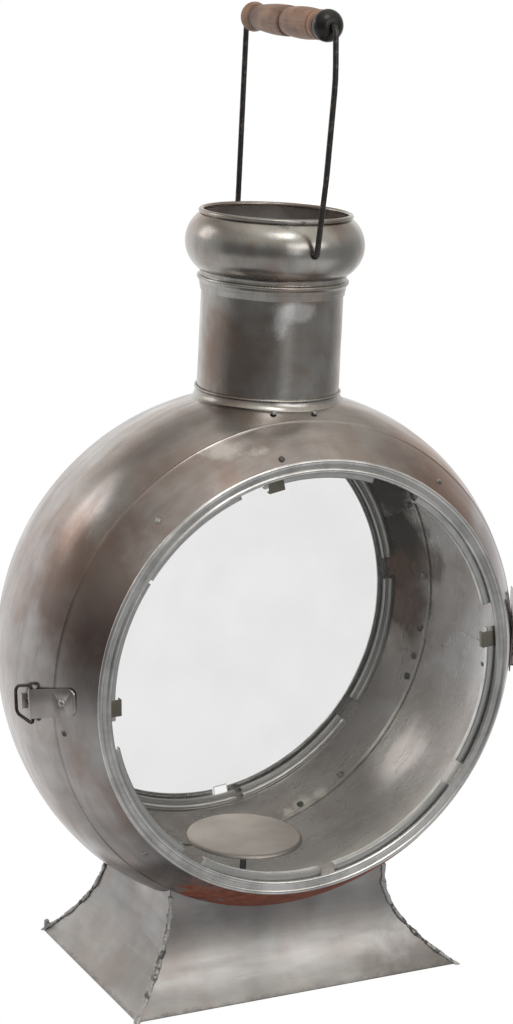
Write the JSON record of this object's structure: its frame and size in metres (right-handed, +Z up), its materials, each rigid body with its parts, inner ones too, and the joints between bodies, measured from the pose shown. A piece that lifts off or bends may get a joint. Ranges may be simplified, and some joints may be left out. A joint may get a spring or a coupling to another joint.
{
  "type": "lantern",
  "caption": "Round glazed candle lantern of sheet iron on a flared foot, with a hinged and latched front, an open bulb on its neck, and a wire bail with a turned wooden grip",
  "frame": {"origin": "On the floor under the middle of the part: the ring's axis runs along Y above it.", "axes": "+Z is up, -Y is the front with the hinged glazed door, +X is the hinge side."},
  "size_m": [0.4903, 0.2424, 0.8826],
  "materials": {
    "sheet_iron": "raw rolled sheet, lightly tarnished",
    "weld_iron": "rough weld metal",
    "zinc_sheet": "galvanised, dull",
    "dark_steel": "blackened wire",
    "glass": "clear pane",
    "brass": "dull",
    "wood": "turned, oiled",
    "black_bead": "semi-gloss black"
  },
  "bodies": {
    "lantern": {"ring_band": "sheet_iron", "band_lap_strip": "sheet_iron", "rear_dish": "sheet_iron", "rear_rim": "zinc_sheet", "rear_glass": "glass", "rear_glass_strips": "zinc_sheet", "rear_seam_tacks": "weld_iron", "neck_tube": "sheet_iron", "neck_collar": "sheet_iron", "collar_tacks": "weld_iron", "neck_bead": "sheet_iron", "bulb": "sheet_iron", "bulb_lip": "sheet_iron", "foot_front": "sheet_iron", "foot_rear": "sheet_iron", "foot_left": "sheet_iron", "foot_right": "sheet_iron", "foot_corner_welds": "weld_iron", "candle_plate": "zinc_sheet", "candle_stem": "dark_steel", "stem_collar": "weld_iron", "stem_washer": "zinc_sheet", "stem_nut": "zinc_sheet", "hinge_leaf_band": "sheet_iron", "hinge_pin": "dark_steel", "hinge_rivets_band": "dark_steel", "latch_catch": "zinc_sheet", "catch_rivets": "dark_steel"},
    "door": {"door_dish": "sheet_iron", "door_rim": "zinc_sheet", "door_glass": "glass", "door_glass_strips": "zinc_sheet", "door_glass_clips": "brass", "door_tacks": "weld_iron", "hinge_leaf_door": "sheet_iron", "hinge_rivets_door": "dark_steel", "latch_strap": "sheet_iron", "latch_rivet": "dark_steel"},
    "latch_loop": {"latch_loop": "dark_steel"},
    "bail": {"bail_wire": "dark_steel"},
    "grip": {"grip_wood": "wood", "grip_bead": "black_bead"}
  },
  "joints": [
    {"name": "door_hinge", "type": "hinge", "parent": "lantern", "child": "door", "pos_m": [0.2312, -0.079, 0.3225], "axis": [0, 0, 1], "range_deg": [0, 165]},
    {"name": "latch_loop_swing", "type": "hinge", "parent": "door", "child": "latch_loop", "pos_m": [-0.23833, -0.061, 0.2861], "axis": [-0.0749, 0, 0.9972], "range_deg": [-9.5, 135]},
    {"name": "bail_swing", "type": "hinge", "parent": "lantern", "child": "bail", "pos_m": [0, 0, 0.674], "axis": [0, 1, 0], "range_deg": [-135, 135]},
    {"name": "grip_spin", "type": "hinge", "parent": "bail", "child": "grip", "pos_m": [0, 0, 0.8687], "axis": [0, 1, 0], "continuous": true}
  ]
}
